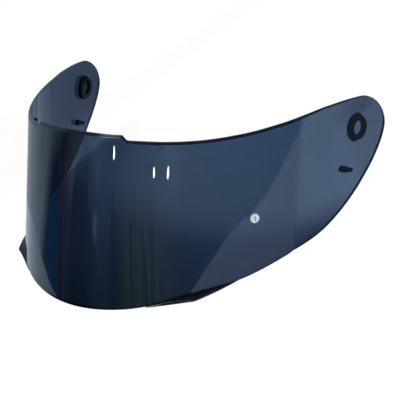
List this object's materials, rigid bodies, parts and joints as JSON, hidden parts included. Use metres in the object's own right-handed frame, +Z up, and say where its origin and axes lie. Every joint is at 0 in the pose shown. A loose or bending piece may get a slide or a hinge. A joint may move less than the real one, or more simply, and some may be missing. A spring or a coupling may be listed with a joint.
{
  "type": "motorcycle helmet face shield",
  "caption": "Tinted wrap-around face shield for a full-face motorcycle helmet, with pivot rings, lift tabs and turning eccentric lens pins.",
  "frame": {"origin": "centre of the overall box at the height of the lower edge, on the plane of symmetry", "axes": "+Z up with the shield standing on its lower edge, -Y out of the front of the shield, +X towards the wearer's left arm"},
  "size_m": [0.2488, 0.1954, 0.1],
  "materials": {
    "smoke_polycarbonate": "hard-coated, mirror smooth, dark blue-grey smoke tint",
    "black_nylon": "satin moulded black",
    "gloss_black": "polished black",
    "clear_nylon": "frosted clear moulded",
    "silicone": "translucent matt"
  },
  "bodies": {
    "shield": {"shield_shell": "smoke_polycarbonate", "pivot_ring_left": "black_nylon", "pivot_ring_right": "black_nylon", "stop_lug_left": "black_nylon", "stop_lug_right": "black_nylon", "lift_tab_left": "gloss_black", "lift_tab_right": "gloss_black", "lens_pin_seal_left": "silicone", "lens_pin_seal_right": "silicone"},
    "lens_pin_left": {"lens_pin_head_left": "clear_nylon", "lens_pin_stud_left": "clear_nylon"},
    "lens_pin_right": {"lens_pin_head_right": "clear_nylon", "lens_pin_stud_right": "clear_nylon"}
  },
  "joints": [
    {"name": "lens_pin_left_turn", "type": "hinge", "parent": "shield", "child": "lens_pin_left", "pos_m": [0.09106, -0.01748, 0.0336], "axis": [0.8686, -0.4598, 0.1848], "continuous": true},
    {"name": "lens_pin_right_turn", "type": "hinge", "parent": "shield", "child": "lens_pin_right", "pos_m": [-0.09106, -0.01748, 0.0336], "axis": [-0.8686, -0.4598, 0.1848], "continuous": true}
  ]
}
